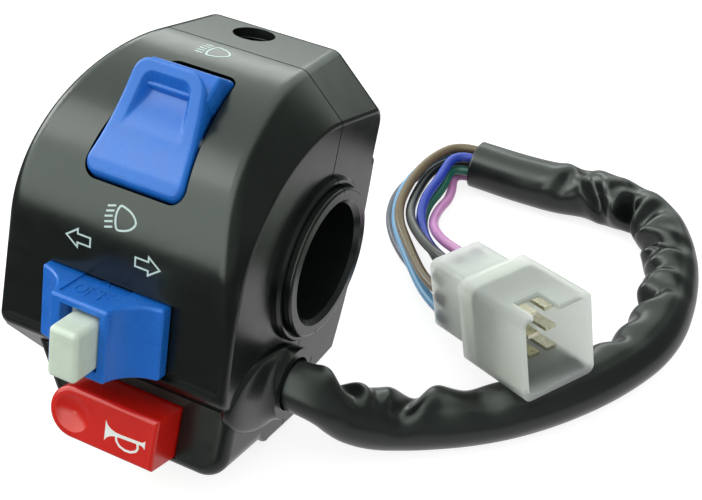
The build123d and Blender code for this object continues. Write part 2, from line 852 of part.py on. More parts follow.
with BuildPart() as turn_knob:
    with BuildSketch(turn_plan.offset(-turn_height / 2)) as knob_plan:
        with BuildLine():
            for side in (-1, 1):
                end = turn_centre + side * turn_half
                shoulder = turn_centre + side * turn_nose_half
                flank = ((end + shoulder + shoulder) / 3, (2 * turn_edge + turn_nose_height) / 3)
                Line((end, turn_lift), (end, turn_edge))
                ThreePointArc((end, turn_edge), flank, (shoulder, turn_nose_height))
            Line((turn_centre - turn_nose_half, turn_nose_height), (turn_centre + turn_nose_half, turn_nose_height))
            Line((turn_centre - turn_half, turn_lift), (turn_centre + turn_half, turn_lift))
        make_face()
    extrude(amount=turn_height)
    outward = Axis((0, 0, 0), turn_face.z_dir)
    foot_edges = turn_knob.edges().group_by(outward)[0]
    fillet([edge for edge in turn_knob.edges() if edge not in foot_edges], radius=turn_round)
    low = (turn_centre - panel_half, turn_height / 2 - panel_depth)
    high = (turn_centre + panel_half, turn_height)
    add(block_on(turn_face, low, high, 0, turn_nose_height - panel_rim), mode=Mode.SUBTRACT)
    low = (turn_centre - nose_left, -nose_down)
    high = (turn_centre + nose_right, nose_up)
    add(block_on(turn_face, low, high, nose_floor, turn_nose_height + wall), mode=Mode.SUBTRACT)
    eye = cylinder_on(turn_face, (turn_centre, 0), spring_eye, 0, nose_floor)
    add(eye, mode=Mode.SUBTRACT)

lean_back(turn_knob, "turn_knob")

with BuildPart() as cancel_button:
    centre = turn_centre + cancel_offset
    low = (centre - cancel_half_width, -cancel_half_height)
    high = (centre + cancel_half_width, cancel_half_height)
    add(block_on(turn_face, low, high, cancel_bottom, cancel_lift))
    fillet(cancel_button.edges(), radius=cancel_round)
    low = (turn_centre - nose_left + rocker_gap, -cancel_half_height)
    high = (turn_centre + nose_right - pin_fit, cancel_half_height)
    add(block_on(turn_face, low, high, cancel_bottom, cancel_bottom + cancel_foot))

lean_back(cancel_button, "cancel_button")

with BuildPart() as turn_carriage:
    low = (turn_centre - carriage_half_width, -carriage_half_height)
    high = (turn_centre + carriage_half_width, carriage_half_height)
    back = -carriage_depth - carriage_gap - carriage_thickness
    add(block_on(turn_face, low, high, back, -carriage_depth - carriage_gap))
    low = (turn_centre - stem_half_width, -stem_half_height)
    high = (turn_centre + stem_half_width, stem_half_height)
    add(block_on(turn_face, low, high, -carriage_depth - carriage_gap, turn_lift))
    ball_place = (turn_centre - carriage_half_width / 2, 0)
    add(cylinder_on(turn_face, ball_place, detent_boss_radius, -detent_boss_depth, back))
    bore = cylinder_on(turn_face, ball_place, ball_radius + pin_fit, -detent_boss_depth, -detent_seat)
    add(bore, mode=Mode.SUBTRACT)
    bore = cylinder_on(turn_face, (turn_centre, 0), spring_eye, cancel_seat, turn_lift)
    add(bore, mode=Mode.SUBTRACT)

lean_back(turn_carriage, "turn_carriage")

with BuildPart() as cancel_spring:
    add(coil(turn_face, (turn_centre, 0), spring_eye - rocker_gap, cancel_seat, cancel_bottom, cancel_pitch))

lean_back(cancel_spring, "cancel_spring")

with BuildPart() as detent_ball:
    with Locations(turn_face.offset(-detent_tip + ball_radius)):
        with Locations((ball_place[0], 0, 0)):
            Sphere(ball_radius)

lean_back(detent_ball, "detent_ball")

with BuildPart() as detent_spring:
    crown = -detent_tip + 2 * ball_radius
    add(coil(turn_face, ball_place, ball_radius - pin_fit, crown, -detent_seat, spring_pitch))

lean_back(detent_spring, "detent_spring")

with BuildPart() as turn_contact_board:
    low = (pillar_left - 2 * turn_pillar_radius, -carriage_half_height)
    high = (pillar_right + 2 * turn_pillar_radius, carriage_half_height)
    add(block_on(turn_face, low, high, -track_depth - board_thickness, -track_depth))
    for side in (pillar_left - turn_pillar_radius, pillar_right + turn_pillar_radius):
        hole = cylinder_on(
            turn_face, (side, 0), board_screw_radius + pin_fit, -track_depth - board_thickness, -track_depth
        )
        add(hole, mode=Mode.SUBTRACT)
    for stop in (-turn_travel, 0, turn_travel):
        with BuildSketch(turn_plan.offset(-carriage_half_height)):
            with Locations((ball_place[0] + stop, -detent_tip + ball_radius)):
                Circle(ball_radius + cam_gap + cam_gap)
        extrude(amount=2 * carriage_half_height, mode=Mode.SUBTRACT)

lean_back(turn_contact_board, "turn_contact_board")

with BuildPart() as turn_contacts:
    for step in (-1, 0, 1):
        side = turn_centre + carriage_half_width / 2 + step * turn_travel
        low = (side - contact_width / 2, -contact_row)
        high = (side + contact_width / 2, contact_row)
        add(block_on(turn_face, low, high, -track_depth, -track_depth + contact_thickness))

lean_back(turn_contacts, "turn_contacts")

with BuildPart() as horn_button:
    with BuildSketch(horn_face.offset(-flange_front)):
        add(horn_outline(0))
    extrude(amount=horn_lift + flange_front)
    fillet(horn_button.faces().sort_by(Axis.Y)[0].edges(), radius=horn_round)
    low = (horn_left + horn_half_height, -horn_half_height)
    high = (horn_right + horn_flange, horn_half_height + horn_flange)
    add(block_on(horn_face, low, high, -flange_front - horn_flange_thickness, -flange_front))
    with BuildSketch(horn_face.offset(-flange_front - horn_flange_thickness)):
        add(horn_outline(0))
    extrude(amount=horn_flange_thickness)
    dimple = horn_face.offset(horn_lift + horn_dimple_radius * horn_dimple_share)
    with Locations(dimple):
        with Locations((horn_left + horn_half_height, 0, 0)):
            Sphere(horn_dimple_radius * horn_dimple_share + horn_dimple_depth, mode=Mode.SUBTRACT)

lean_back(horn_button, "horn_button")

horn_middle = ((horn_left + horn_right) / 2, 0)
horn_back = -flange_front - horn_flange_thickness

with BuildPart() as horn_spring:
    add(coil(horn_face, horn_middle, horn_spring_radius, -horn_plate_depth, horn_back, 2 * spring_pitch))

lean_back(horn_spring, "horn_spring")

with BuildPart() as horn_contact_bridge:
    low = (horn_middle[0] - bridge_half, -contact_row)
    high = (horn_middle[0] + bridge_half, contact_row)
    add(block_on(horn_face, low, high, horn_back - contact_thickness, horn_back))
    add(cylinder_on(horn_face, horn_middle, horn_spring_radius + wall, horn_back - contact_thickness, horn_back))
    ring = cylinder_on(horn_face, horn_middle, horn_spring_radius + cam_gap, horn_back - contact_thickness, horn_back)
    add(ring, mode=Mode.SUBTRACT)
    for side in (-bridge_half + contact_row, bridge_half - contact_row):
        tip = cylinder_on(
            horn_face, (horn_middle[0] + side, 0), contact_row / 2, horn_back - 2 * contact_thickness, horn_back
        )
        add(tip)

lean_back(horn_contact_bridge, "horn_contact_bridge")

with BuildPart() as horn_contact_plate:
    low = (horn_rib_left - lug_width + cam_gap, -horn_half_height + wall / 2)
    high = (horn_rib_right + lug_width, horn_half_height)
    add(block_on(horn_face, low, high, -horn_plate_depth - board_thickness, -horn_plate_depth))
    low = (horn_rib_left - 2 * lug_width, -2 * horn_half_height)
    high = (horn_rib_left, horn_rib_low)
    corner = block_on(horn_face, low, high, -horn_plate_depth - board_thickness, -horn_plate_depth)
    add(corner, mode=Mode.SUBTRACT)
    for side in (horn_rib_left - lug_width / 2, horn_rib_right + lug_width / 2):
        hole = cylinder_on(
            horn_face,
            (side, horn_screw_height),
            board_screw_radius + pin_fit,
            -horn_plate_depth - board_thickness,
            -horn_plate_depth,
        )
        add(hole, mode=Mode.SUBTRACT)

lean_back(horn_contact_plate, "horn_contact_plate")

with BuildPart() as horn_contacts:
    for side in (-bridge_half + contact_row, bridge_half - contact_row):
        place = (horn_middle[0] + side, 0)
        add(cylinder_on(horn_face, place, contact_row / 2, -horn_plate_depth, -horn_plate_depth + contact_thickness))

lean_back(horn_contacts, "horn_contacts")

with BuildPart() as board_screws:
    for plane, depth, sides, height in (
        (rocker_face, lug_depth, (lug_left - lug_width / 2, lug_right + lug_width / 2), 0),
        (turn_face, track_depth, (pillar_left - turn_pillar_radius, pillar_right + turn_pillar_radius), 0),
        (
            horn_face,
            horn_plate_depth,
            (horn_rib_left - lug_width / 2, horn_rib_right + lug_width / 2),
            horn_screw_height,
        ),
    ):
        base = -depth - board_thickness
        for side in sides:
            add(cylinder_on(plane, (side, height), board_screw_head, base - board_screw_height, base))
            add(cylinder_on(plane, (side, height), board_screw_radius, base, -depth + board_screw_reach))

lean_back(board_screws, "board_screws")


def drop_to_table(reach, height):
    """Where a point of the bar's drawing stands once the switch leans back."""
    turn = radians(lean)
    return (-reach * cos(turn) + height * sin(turn), reach * sin(turn) + height * cos(turn))


exit_y, exit_z = drop_to_table(exit_reach, -exit_drop)
resting = table_height + sleeve_radius

sleeve_route = [
    (sleeve_start, exit_y, exit_z),
    (exit_corner, exit_y, exit_z),
    (38.0, -10.6, -26.4),
    (47.0, -3.6, resting),
    (58.0, 4.0, resting),
    (67.0, 13.6, resting),
    (74.6, 25.4, resting),
    (79.4, 38.0, resting),
    (78.2, 51.6, resting),
    (74.0, 63.6, resting),
    (66.4, 73.4, resting),
    (53.0, 74.8, resting),
    (39.4, 71.8, resting),
    (sleeve_finish, 71.8, resting),
]


def bend_radii(route):
    """A radius for every corner of a route, which leaves a straight run between neighbours."""
    radii = []
    for before, corner, after in zip(route, route[1:], route[2:]):
        first = Vector(*corner) - Vector(*before)
        second = Vector(*after) - Vector(*corner)
        half_turn = radians(first.get_angle(second)) / 2
        radii.append(bend_share * min(first.length, second.length) / tan(half_turn))
    return radii


def tube(route, radius, name):
    """A round cord along a route."""
    radii = bend_radii(route)
    with BuildPart() as cord:
        with BuildLine() as path:
            FilletPolyline(*route, radius=radii)
        with BuildSketch(Plane(origin=path.line @ 0, z_dir=path.line % 0)):
            Circle(radius)
        sweep()
    length = path.wire().length
    swept = cord.part.volume / (pi * radius**2 * length)
    print(name, "length", round(length, 1), "least radius", round(min(radii), 1), "volume share", round(swept, 3))
    return cord.part


with BuildPart() as cable_sleeve:
    add(tube(sleeve_route, sleeve_radius, "cable_sleeve"))

cable_sleeve.part.label = "cable_sleeve"
export_step(cable_sleeve.part, "parts/cable_sleeve.step")

with BuildPart() as cable_clip:
    with BuildSketch(side_plane.offset(half_width - wall - clip_width)):
        with Locations((exit_y, exit_z)):
            Circle(sleeve_radius + clip_thickness)
            Circle(sleeve_radius, mode=Mode.SUBTRACT)
    extrude(amount=clip_width)

cable_clip.part.label = "cable_clip"
export_step(cable_clip.part, "parts/cable_clip.step")

# Connector, which leans with its front edge on the cable
connector_corner = (64.86, 4.87, -22.9)
connector_forward = (0.848, -0.4659, 0.2527)
connector_across = (0.4895, 0.8713, -0.0363)
connector_plane = Plane(origin=connector_corner, x_dir=connector_across, z_dir=connector_forward)
way_rows = [3.7, 8.2, 12.7]
way_columns = [4.0, 8.1, 12.2]
ways = [(across, up) for up in way_rows for across in way_columns]

with BuildPart() as connector_housing:
    with BuildSketch(connector_plane.offset(-shroud_length)):
        with Locations((shroud_width / 2, shroud_height / 2)):
            RectangleRounded(shroud_width, shroud_height, shroud_round)
    extrude(amount=shroud_length)
    with BuildSketch(connector_plane.offset(-connector_length)):
        with Locations((shroud_width / 2, shroud_height / 2)):
            RectangleRounded(core_width, core_height, shroud_round)
    extrude(amount=connector_length - shroud_length)
    with BuildSketch(connector_plane.offset(-shroud_depth)):
        with Locations((shroud_width / 2, shroud_height / 2)):
            RectangleRounded(shroud_width - 2 * shroud_wall, shroud_height - 2 * shroud_wall, shroud_wall)
    extrude(amount=shroud_depth, mode=Mode.SUBTRACT)
    with BuildSketch(connector_plane.offset(-connector_length)):
        with Locations(*ways):
            Circle(way_radius)
    extrude(amount=way_depth, mode=Mode.SUBTRACT)
    with BuildSketch(connector_plane.offset(-notch_depth)):
        with Locations((notch_centre, shroud_height)):
            Rectangle(notch_width, 2 * shroud_wall + shroud_wall)
    extrude(amount=notch_depth, mode=Mode.SUBTRACT)

connector_housing.part.label = "connector_housing"
export_step(connector_housing.part, "parts/connector_housing.step")

with BuildPart() as connector_terminals:
    with BuildSketch(connector_plane.offset(-shroud_depth)):
        with Locations(*ways):
            Rectangle(tab_width, tab_thickness)
    extrude(amount=tab_length)

connector_terminals.part.label = "connector_terminals"
export_step(connector_terminals.part, "parts/connector_terminals.step")

wire_routes = {
    "wire_brown": (60, 3, [(16.6, 67.5, -27.0), (15.6, 57.9, -27.0), (17.6, 46.5, -27.2), (25.1, 37.5, -26.8)]),
    "wire_light_blue": (0, 0, [(15.3, 69.0, -29.5), (13.8, 58.1, -29.7), (16.8, 47.1, -29.6), (24.6, 37.5, -29.5)]),
    "wire_dark_grey": (300, 1, [(14.1, 67.0, -32.0), (12.2, 57.1, -32.0), (15.6, 47.0, -32.3), (24.7, 38.0, -32.3)]),
    "wire_black": (None, 7, [(17.1, 65.3, -29.3), (17.9, 55.2, -28.9), (20.8, 46.1, -26.9), (28.0, 37.8, -24.2)]),
    "wire_dark_blue": (120, 5, [(21.3, 60.4, -26.7), (21.0, 53.6, -27.0), (23.4, 46.2, -27.5), (29.3, 39.2, -26.9)]),
    "wire_green": (180, 2, [(22.3, 60.5, -29.1), (21.5, 53.9, -29.5), (23.5, 47.0, -29.8), (30.1, 40.4, -30.3)]),
    "wire_pink": (240, 8, [(24.3, 60.9, -30.9), (24.0, 54.4, -30.1), (25.8, 47.5, -28.2), (30.9, 40.4, -24.4)]),
}


def wire_route(slot, way, middle):
    """A wire's route from its place in the sleeve's end to its way in the connector."""
    ring = 0 if slot is None else wire_ring
    angle = radians(slot or 0)
    start = Vector(sleeve_finish, sleeve_route[-1][1] + ring * cos(angle), resting + ring * sin(angle))
    lead = start - Vector(wire_lead, 0, 0)
    across, up = ways[way]
    mouth = connector_plane.from_local_coords((across, up, -connector_length - wire_lead))
    floor = connector_plane.from_local_coords((across, up, -connector_length + way_depth))
    return [tuple(start), tuple(lead), *middle, tuple(mouth), tuple(floor)]


for name, (slot, way, middle) in wire_routes.items():
    with BuildPart() as wire:
        add(tube(wire_route(slot, way, middle), wire_radius, name))
    wire.part.label = name
    export_step(wire.part, f"parts/{name}.step")
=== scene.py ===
import math

import bpy
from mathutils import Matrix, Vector
from mathutils.bvhtree import BVHTree


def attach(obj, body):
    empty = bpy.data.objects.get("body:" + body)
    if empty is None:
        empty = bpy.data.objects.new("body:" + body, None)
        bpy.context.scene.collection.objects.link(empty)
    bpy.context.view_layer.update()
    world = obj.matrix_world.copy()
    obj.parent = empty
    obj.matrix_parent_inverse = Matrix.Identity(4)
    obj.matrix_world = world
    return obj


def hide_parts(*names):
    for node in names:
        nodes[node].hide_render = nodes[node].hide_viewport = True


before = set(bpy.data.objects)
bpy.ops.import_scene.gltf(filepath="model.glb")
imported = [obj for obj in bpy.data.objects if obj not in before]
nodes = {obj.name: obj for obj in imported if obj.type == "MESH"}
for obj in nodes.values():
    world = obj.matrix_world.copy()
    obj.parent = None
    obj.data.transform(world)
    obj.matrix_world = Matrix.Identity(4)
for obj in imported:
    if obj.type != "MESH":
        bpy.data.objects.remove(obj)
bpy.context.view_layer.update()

scene = bpy.context.scene
lean = math.radians(24.5)
MM = 0.001


def place(x, y, z):
    """A point given along the bar, away from the rider and up, with the bar's own lean, as a point over the table."""
    return Vector((x, y * math.cos(lean) + z * math.sin(lean), -y * math.sin(lean) + z * math.cos(lean))) * MM


def smooth(t):
    """A share that eases in at 0 and out at 1."""
    t = max(0.0, min(1.0, t))
    return t * t * (3 - 2 * t)


# ---------------------------------------------------------------- camera, floor and light

camera_data = bpy.data.cameras.new("camera")
camera_data.lens = 75.46
camera_data.sensor_width = 36.0
camera_data.clip_start = 0.01
camera_data.clip_end = 10.0
camera = bpy.data.objects.new("camera", camera_data)
camera.location = (0.12123, -0.1700, 0.18017)
camera.rotation_euler = (math.radians(47.68), 0.0, math.radians(27.88))
scene.collection.objects.link(camera)
scene.camera = camera

FLOOR = -0.034
FLOOR_HALF = 3.0
FLOOR_GREY = 0.42
FLOOR_GLOW = 0.8
PART_MIDDLE = (0.045, 0.045, FLOOR)

# How bright the tent is in the gloss, and the even light from below and from above.
TENT = 3.4
FILL_LOW = 0.8
FILL_HIGH = 1.05


def new_material(name):
    material = bpy.data.materials.new(name)
    material.use_nodes = True
    tree = material.node_tree
    tree.nodes.clear()
    return material, tree


def floor_material():
    """White paper that takes a faint shadow, and that the gloss shows only near the part."""
    material, tree = new_material("floor_paper")
    make = tree.nodes.new
    join = tree.links.new
    out = make("ShaderNodeOutputMaterial")
    diffuse = make("ShaderNodeBsdfDiffuse")
    diffuse.inputs["Color"].default_value = (FLOOR_GREY, FLOOR_GREY, FLOOR_GREY, 1)
    glow = make("ShaderNodeEmission")
    path = make("ShaderNodeLightPath")
    seen = make("ShaderNodeMath")
    seen.operation = "MAXIMUM"
    join(path.outputs["Is Camera Ray"], seen.inputs[0])
    join(path.outputs["Is Transmission Ray"], seen.inputs[1])
    part = make("ShaderNodeMath")
    part.operation = "MULTIPLY"
    part.inputs[1].default_value = FLOOR_GLOW
    join(seen.outputs[0], part.inputs[0])
    join(part.outputs[0], glow.inputs["Strength"])
    both = make("ShaderNodeAddShader")
    join(diffuse.outputs[0], both.inputs[0])
    join(glow.outputs[0], both.inputs[1])
    where = make("ShaderNodeTexCoord")
    away = make("ShaderNodeVectorMath")
    away.operation = "DISTANCE"
    away.inputs[1].default_value = PART_MIDDLE
    join(where.outputs["Object"], away.inputs[0])
    fall = make("ShaderNodeMapRange")
    fall.interpolation_type = "SMOOTHSTEP"
    fall.inputs["From Min"].default_value = 0.05
    fall.inputs["From Max"].default_value = 0.16
    fall.inputs["To Min"].default_value = 0.9
    fall.inputs["To Max"].default_value = 0.1
    join(away.outputs["Value"], fall.inputs["Value"])
    shine = make("ShaderNodeEmission")
    join(fall.outputs[0], shine.inputs["Strength"])
    mix = make("ShaderNodeMixShader")
    join(path.outputs["Is Glossy Ray"], mix.inputs["Fac"])
    join(both.outputs[0], mix.inputs[1])
    join(shine.outputs[0], mix.inputs[2])
    join(mix.outputs[0], out.inputs["Surface"])
    return material


def floor_mesh():
    mesh = bpy.data.meshes.new("floor")
    half = FLOOR_HALF
    corners = [(-half, -half, FLOOR), (half, -half, FLOOR), (half, half, FLOOR), (-half, half, FLOOR)]
    mesh.from_pydata(corners, [], [(0, 1, 2, 3)])
    mesh.materials.append(floor_material())
    floor = bpy.data.objects.new("floor", mesh)
    scene.collection.objects.link(floor)


floor_mesh()


def world_light():
    """White behind the part, an even light on it, and in its gloss a tent that is bright above and dark in front."""
    world = bpy.data.worlds.new("studio")
    world.use_nodes = True
    tree = world.node_tree
    tree.nodes.clear()
    make = tree.nodes.new
    join = tree.links.new
    out = make("ShaderNodeOutputWorld")
    way = make("ShaderNodeTexCoord")
    parts = make("ShaderNodeSeparateXYZ")
    join(way.outputs["Generated"], parts.inputs[0])

    def ramp(source, start, end, low, high):
        made = make("ShaderNodeMapRange")
        made.interpolation_type = "SMOOTHSTEP"
        made.inputs["From Min"].default_value = start
        made.inputs["From Max"].default_value = end
        made.inputs["To Min"].default_value = low
        made.inputs["To Max"].default_value = high
        join(source, made.inputs["Value"])
        return made.outputs[0]

    def times(one, other):
        made = make("ShaderNodeMath")
        made.operation = "MULTIPLY"
        join(one, made.inputs[0])
        join(other, made.inputs[1])
        return made.outputs[0]

    above = ramp(parts.outputs["Z"], -0.1, 0.0, 0.08, TENT)
    right = ramp(parts.outputs["X"], 0.0, 0.4, 1.0, 0.14)
    behind = ramp(parts.outputs["Y"], -0.6, 0.4, 1.0, 0.5)
    tent = make("ShaderNodeBackground")
    tent.inputs["Color"].default_value = (0.88, 1.0, 0.90, 1)
    join(times(times(above, right), behind), tent.inputs["Strength"])
    even = make("ShaderNodeBackground")
    even.inputs["Color"].default_value = (0.95, 1.0, 0.96, 1)
    join(ramp(parts.outputs["Z"], -0.1, 0.9, FILL_LOW, FILL_HIGH), even.inputs["Strength"])
    seen = make("ShaderNodeBackground")
    seen.inputs["Color"].default_value = (1, 1, 1, 1)
    seen.inputs["Strength"].default_value = 1.0
    path = make("ShaderNodeLightPath")
    either = make("ShaderNodeMath")
    either.operation = "MAXIMUM"
    join(path.outputs["Is Camera Ray"], either.inputs[0])
    join(path.outputs["Is Transmission Ray"], either.inputs[1])
    gloss = make("ShaderNodeMixShader")
    join(path.outputs["Is Glossy Ray"], gloss.inputs["Fac"])
    join(even.outputs[0], gloss.inputs[1])
    join(tent.outputs[0], gloss.inputs[2])
    mix = make("ShaderNodeMixShader")
    join(either.outputs[0], mix.inputs["Fac"])
    join(gloss.outputs[0], mix.inputs[1])
    join(seen.outputs[0], mix.inputs[2])
    join(mix.outputs[0], out.inputs["Surface"])
    scene.world = world


world_light()


def softbox(name, where, aim, size, power):
    data = bpy.data.lights.new(name, "AREA")
    data.shape = "RECTANGLE"
    data.size, data.size_y = size
    data.energy = power
    lamp = bpy.data.objects.new(name, data)
    lamp.location = where
    lamp.rotation_euler = (Vector(aim) - Vector(where)).to_track_quat("-Z", "Y").to_euler()
    scene.collection.objects.link(lamp)


softbox("key_box", (-0.55, -0.25, 0.75), (0.0, 0.0, 0.0), (0.5, 0.5), 2.0)
softbox("back_box", (-0.45, 0.85, 0.22), (0.0, 0.0, 0.0), (0.5, 0.3), 0.9)
softbox("left_box", (-0.85, 0.1, 0.3), (0.0, 0.0, 0.0), (0.5, 0.4), 2.5)

scene.view_settings.view_transform = "Standard"


# ---------------------------------------------------------------- materials


def plastic(
    name, colour, rough=0.35, grain=0.00016, depth=0.00001, mottle=0.06, through=0.0, level=0.5, patch=0.004,
    reach=0.004
):
    """Moulded plastic: a fine grain, and a slow change of tone and of gloss."""
    material, tree = new_material(name)
    make = tree.nodes.new
    join = tree.links.new
    out = make("ShaderNodeOutputMaterial")
    shader = make("ShaderNodeBsdfPrincipled")
    join(shader.outputs[0], out.inputs["Surface"])
    where = make("ShaderNodeTexCoord")
    slow = make("ShaderNodeTexNoise")
    slow.inputs["Scale"].default_value = 1.0 / patch
    slow.inputs["Detail"].default_value = 5.0
    slow.inputs["Roughness"].default_value = 0.6
    join(where.outputs["Object"], slow.inputs["Vector"])
    tone = make("ShaderNodeValToRGB")
    low = [c * (1 - mottle) for c in colour]
    high = [min(1.0, c * (1 + mottle)) for c in colour]
    tone.color_ramp.elements[0].position = 0.3
    tone.color_ramp.elements[0].color = (*low, 1)
    tone.color_ramp.elements[1].position = 0.7
    tone.color_ramp.elements[1].color = (*high, 1)
    join(slow.outputs["Fac"], tone.inputs["Fac"])
    join(tone.outputs["Color"], shader.inputs["Base Color"])
    gloss = make("ShaderNodeMapRange")
    gloss.inputs["From Min"].default_value = 0.3
    gloss.inputs["From Max"].default_value = 0.7
    gloss.inputs["To Min"].default_value = rough * 0.88
    gloss.inputs["To Max"].default_value = min(1.0, rough * 1.12)
    join(slow.outputs["Fac"], gloss.inputs["Value"])
    join(gloss.outputs[0], shader.inputs["Roughness"])
    fine = make("ShaderNodeTexNoise")
    fine.inputs["Scale"].default_value = 1.0 / grain
    fine.inputs["Detail"].default_value = 3.0
    join(where.outputs["Object"], fine.inputs["Vector"])
    bump = make("ShaderNodeBump")
    bump.inputs["Strength"].default_value = 1.0
    bump.inputs["Distance"].default_value = depth
    join(fine.outputs["Fac"], bump.inputs["Height"])
    join(bump.outputs["Normal"], shader.inputs["Normal"])
    shader.inputs["Specular IOR Level"].default_value = level
    if through:
        shader.inputs["Subsurface Weight"].default_value = through
        shader.inputs["Subsurface Radius"].default_value = (1.0, 1.0, 0.9)
        shader.inputs["Subsurface Scale"].default_value = reach
    return material


def metal(name, colour, rough=0.28, scratch=0.00012):
    """Plated or rolled metal: drawn lines, stain and a changing gloss."""
    material, tree = new_material(name)
    make = tree.nodes.new
    join = tree.links.new
    out = make("ShaderNodeOutputMaterial")
    shader = make("ShaderNodeBsdfPrincipled")
    join(shader.outputs[0], out.inputs["Surface"])
    shader.inputs["Metallic"].default_value = 1.0
    where = make("ShaderNodeTexCoord")
    stain = make("ShaderNodeTexNoise")
    stain.inputs["Scale"].default_value = 900.0
    stain.inputs["Detail"].default_value = 6.0
    join(where.outputs["Object"], stain.inputs["Vector"])
    tone = make("ShaderNodeValToRGB")
    tone.color_ramp.elements[0].position = 0.35
    tone.color_ramp.elements[0].color = (*[c * 0.78 for c in colour], 1)
    tone.color_ramp.elements[1].position = 0.7
    tone.color_ramp.elements[1].color = (*[min(1.0, c * 1.08) for c in colour], 1)
    join(stain.outputs["Fac"], tone.inputs["Fac"])
    join(tone.outputs["Color"], shader.inputs["Base Color"])
    gloss = make("ShaderNodeMapRange")
    gloss.inputs["To Min"].default_value = rough * 0.7
    gloss.inputs["To Max"].default_value = rough * 1.4
    join(stain.outputs["Fac"], gloss.inputs["Value"])
    join(gloss.outputs[0], shader.inputs["Roughness"])
    lines = make("ShaderNodeTexNoise")
    lines.inputs["Scale"].default_value = 1.0 / scratch
    lines.inputs["Detail"].default_value = 2.0
    stretch = make("ShaderNodeMapping")
    stretch.inputs["Scale"].default_value = (1.0, 0.08, 1.0)
    join(where.outputs["Object"], stretch.inputs["Vector"])
    join(stretch.outputs[0], lines.inputs["Vector"])
    bump = make("ShaderNodeBump")
    bump.inputs["Strength"].default_value = 0.6
    bump.inputs["Distance"].default_value = 0.000006
    join(lines.outputs["Fac"], bump.inputs["Height"])
    join(bump.outputs["Normal"], shader.inputs["Normal"])
    return material


MATERIALS = {
    "black_housing": plastic("moulded_black", (0.0055, 0.0075, 0.0065), rough=0.23, depth=0.000003),
    "inner_plastic": plastic("inner_black", (0.02, 0.021, 0.021), rough=0.5),
    "contact_board": plastic("phenolic_board", (0.23, 0.12, 0.05), rough=0.45, mottle=0.25, patch=0.0012),
    "blue_knob": plastic("moulded_blue", (0.012, 0.142, 0.58), rough=0.27, depth=0.000001, through=0.08, level=0.4),
    "red_button": plastic("moulded_red", (0.62, 0.011, 0.006), rough=0.24, depth=0.000001, through=0.08),
    "cream_button": plastic("moulded_cream", (0.62, 0.70, 0.60), rough=0.36, through=0.25),
    "sleeve_vinyl": plastic("vinyl_black", (0.006, 0.0078, 0.0074), rough=0.3, grain=0.0004, depth=0.000006),
    "milky_nylon": plastic(
        "milky_nylon", (0.68, 0.76, 0.64), rough=0.36, mottle=0.03, through=1.0, depth=0.000002, level=0.35, reach=0.04
    ),
    "zinc_steel": metal("zinc_plate", (0.66, 0.64, 0.58), rough=0.3),
    "spring_steel": metal("spring_wire", (0.5, 0.5, 0.5), rough=0.32),
    "ball_steel": metal("ball_steel", (0.7, 0.7, 0.71), rough=0.14),
    "contact_brass": metal("contact_brass", (0.78, 0.58, 0.25), rough=0.3),
    "terminal_brass": metal("terminal_brass", (0.74, 0.70, 0.56), rough=0.24),
}

WIRE_COLOURS = {
    "wire_dark_grey": (0.10, 0.11, 0.15),
    "wire_light_blue": (0.16, 0.42, 0.72),
    "wire_brown": (0.16, 0.11, 0.06),
    "wire_black": (0.014, 0.015, 0.017),
    "wire_dark_blue": (0.02, 0.05, 0.42),
    "wire_green": (0.015, 0.13, 0.09),
    "wire_pink": (0.62, 0.26, 0.56),
}
for wire_name, wire_colour in WIRE_COLOURS.items():
    MATERIALS[wire_name + "_cover"] = plastic(
        wire_name + "_vinyl", wire_colour, rough=0.3, grain=0.0006, depth=0.000008, patch=0.003
    )

NODE_SLOTS = {
    "front_housing": "black_housing",
    "rear_housing": "black_housing",
    "mirror_boss": "black_housing",
    "housing_screws": "zinc_steel",
    "rocker_pin": "zinc_steel",
    "beam_contact_board": "contact_board",
    "turn_contact_board": "contact_board",
    "horn_contact_plate": "contact_board",
    "beam_contacts": "contact_brass",
    "turn_contacts": "contact_brass",
    "horn_contacts": "contact_brass",
    "horn_contact_bridge": "contact_brass",
    "board_screws": "zinc_steel",
    "horn_spring": "spring_steel",
    "cancel_spring": "spring_steel",
    "detent_spring": "spring_steel",
    "rocker_spring": "spring_steel",
    "detent_ball": "ball_steel",
    "rocker_plunger": "contact_brass",
    "beam_rocker": "blue_knob",
    "turn_knob": "blue_knob",
    "cancel_button": "cream_button",
    "turn_carriage": "inner_plastic",
    "horn_button": "red_button",
    "cable_sleeve": "sleeve_vinyl",
    "cable_clip": "inner_plastic",
    "connector_housing": "milky_nylon",
    "connector_terminals": "terminal_brass",
}
for wire_name in WIRE_COLOURS:
    NODE_SLOTS[wire_name] = wire_name + "_cover"


def dress_nodes():
    for name, node in nodes.items():
        node.data.materials.clear()
        node.data.materials.append(MATERIALS[NODE_SLOTS[name]])


dress_nodes()


# ---------------------------------------------------------------- cords


def route_curve(name, points, bevel=0.0):
    """One open NURBS spline on the points, in millimetres, as an object."""
    data = bpy.data.curves.new(name, "CURVE")
    data.dimensions = "3D"
    data.resolution_u = 24
    data.bevel_depth = bevel
    data.bevel_resolution = 6
    data.use_fill_caps = True
    spline = data.splines.new("NURBS")
    spline.points.add(len(points) - 1)
    for point, (x, y, z) in zip(spline.points, points):
        point.co = (x * MM, y * MM, z * MM, 1.0)
    spline.order_u = 3
    spline.use_endpoint_u = True
    curve = bpy.data.objects.new(name, data)
    scene.collection.objects.link(curve)
    return curve


def length_of(curve):
    """The points of a curve's middle line and its length."""
    bpy.context.view_layer.update()
    depth = curve.data.bevel_depth
    curve.data.bevel_depth = 0.0
    line = bpy.data.meshes.new_from_object(curve.evaluated_get(bpy.context.evaluated_depsgraph_get()))
    curve.data.bevel_depth = depth
    points = [v.co.copy() for v in line.vertices]
    bpy.data.meshes.remove(line)
    return points, sum((b - a).length for a, b in zip(points, points[1:]))


